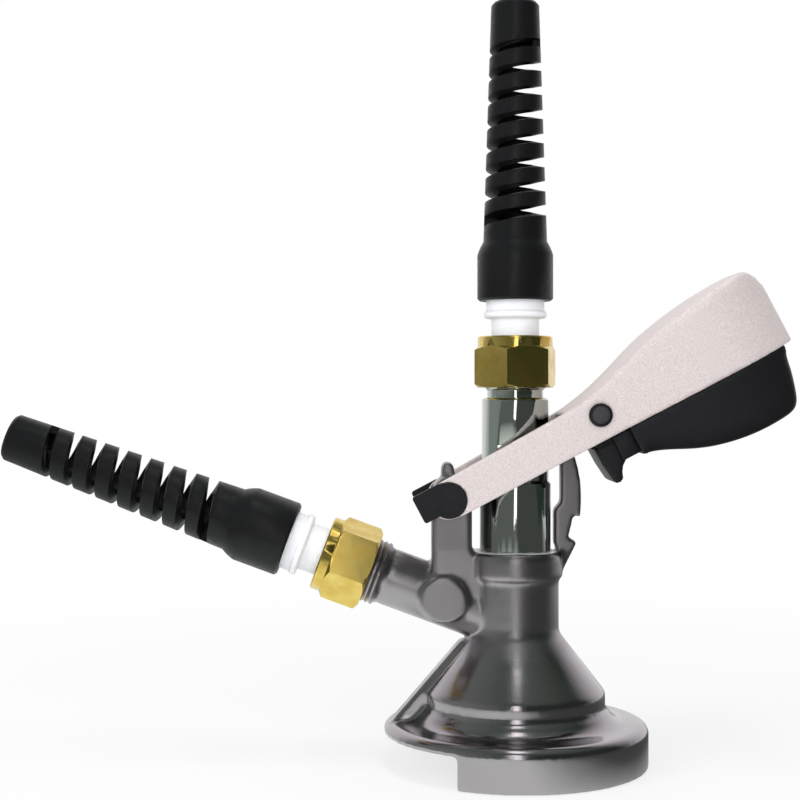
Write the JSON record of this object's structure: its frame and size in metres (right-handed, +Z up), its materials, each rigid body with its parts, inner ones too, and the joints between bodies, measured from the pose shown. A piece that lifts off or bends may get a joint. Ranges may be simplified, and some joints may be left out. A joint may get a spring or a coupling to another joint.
{
  "type": "keg coupler",
  "caption": "Keg coupler that slides under a keg valve's flange; a latching forked handle drives its probe down, with two hose tails in spiral bend protectors.",
  "frame": {"origin": "on the probe's axis, in the plane where the keg's flange seats", "axes": "+Z up along the probe, +X towards the handle's grip, -X towards the gas arm"},
  "size_m": [0.2864, 0.096, 0.2766],
  "materials": {
    "cast_polished": "polished",
    "chromed_steel": "polished",
    "blasted_alloy": "matte",
    "brass": "polished",
    "white_nylon": "matte",
    "black_nylon": "matte",
    "black_rubber": "satin",
    "stainless_pin": "satin"
  },
  "bodies": {
    "coupler_body": {"body": "cast_polished", "keg_seal": "black_rubber", "neck_o_rings": "black_rubber", "guide_ring": "white_nylon", "hinge_bushes": "black_nylon", "gas_check_valve": "black_rubber", "gas_nut": "brass", "gas_tail_washer": "black_rubber", "gas_hose_tail": "white_nylon", "gas_bend_protector": "black_rubber"},
    "probe_assembly": {"probe": "chromed_steel", "probe_tip_seal": "black_rubber", "beer_nut": "brass", "beer_tail_washer": "black_rubber", "beer_hose_tail": "white_nylon", "beer_bend_protector": "black_rubber"},
    "handle_assembly": {"handle": "blasted_alloy", "hinge_pin": "stainless_pin", "hinge_caps": "black_nylon", "drive_pins": "stainless_pin", "guide_pin": "black_nylon", "grip_insert": "black_nylon", "trigger_spring": "stainless_pin"},
    "trigger_assembly": {"trigger": "black_nylon", "catch_pin": "stainless_pin"}
  },
  "joints": [
    {"name": "handle_hinge", "type": "hinge", "parent": "coupler_body", "child": "handle_assembly", "pos_m": [-0.0247, 0, 0.0849], "axis": [0, 1, 0], "range_deg": [0, 40.5]},
    {"name": "probe_slide", "type": "slide", "parent": "coupler_body", "child": "probe_assembly", "axis": [0, 0, -1], "range_m": [0, 0.0192]},
    {"name": "trigger_slide", "type": "slide", "parent": "handle_assembly", "child": "trigger_assembly", "axis": [0.8838, 0, 0.4679], "range_m": [-0.0024, 0.003], "stiffness_N_per_m": 400}
  ],
  "couplings": [
    {"joint": "probe_slide", "follows": "handle_hinge", "m_per_rad": 0.02708}
  ]
}
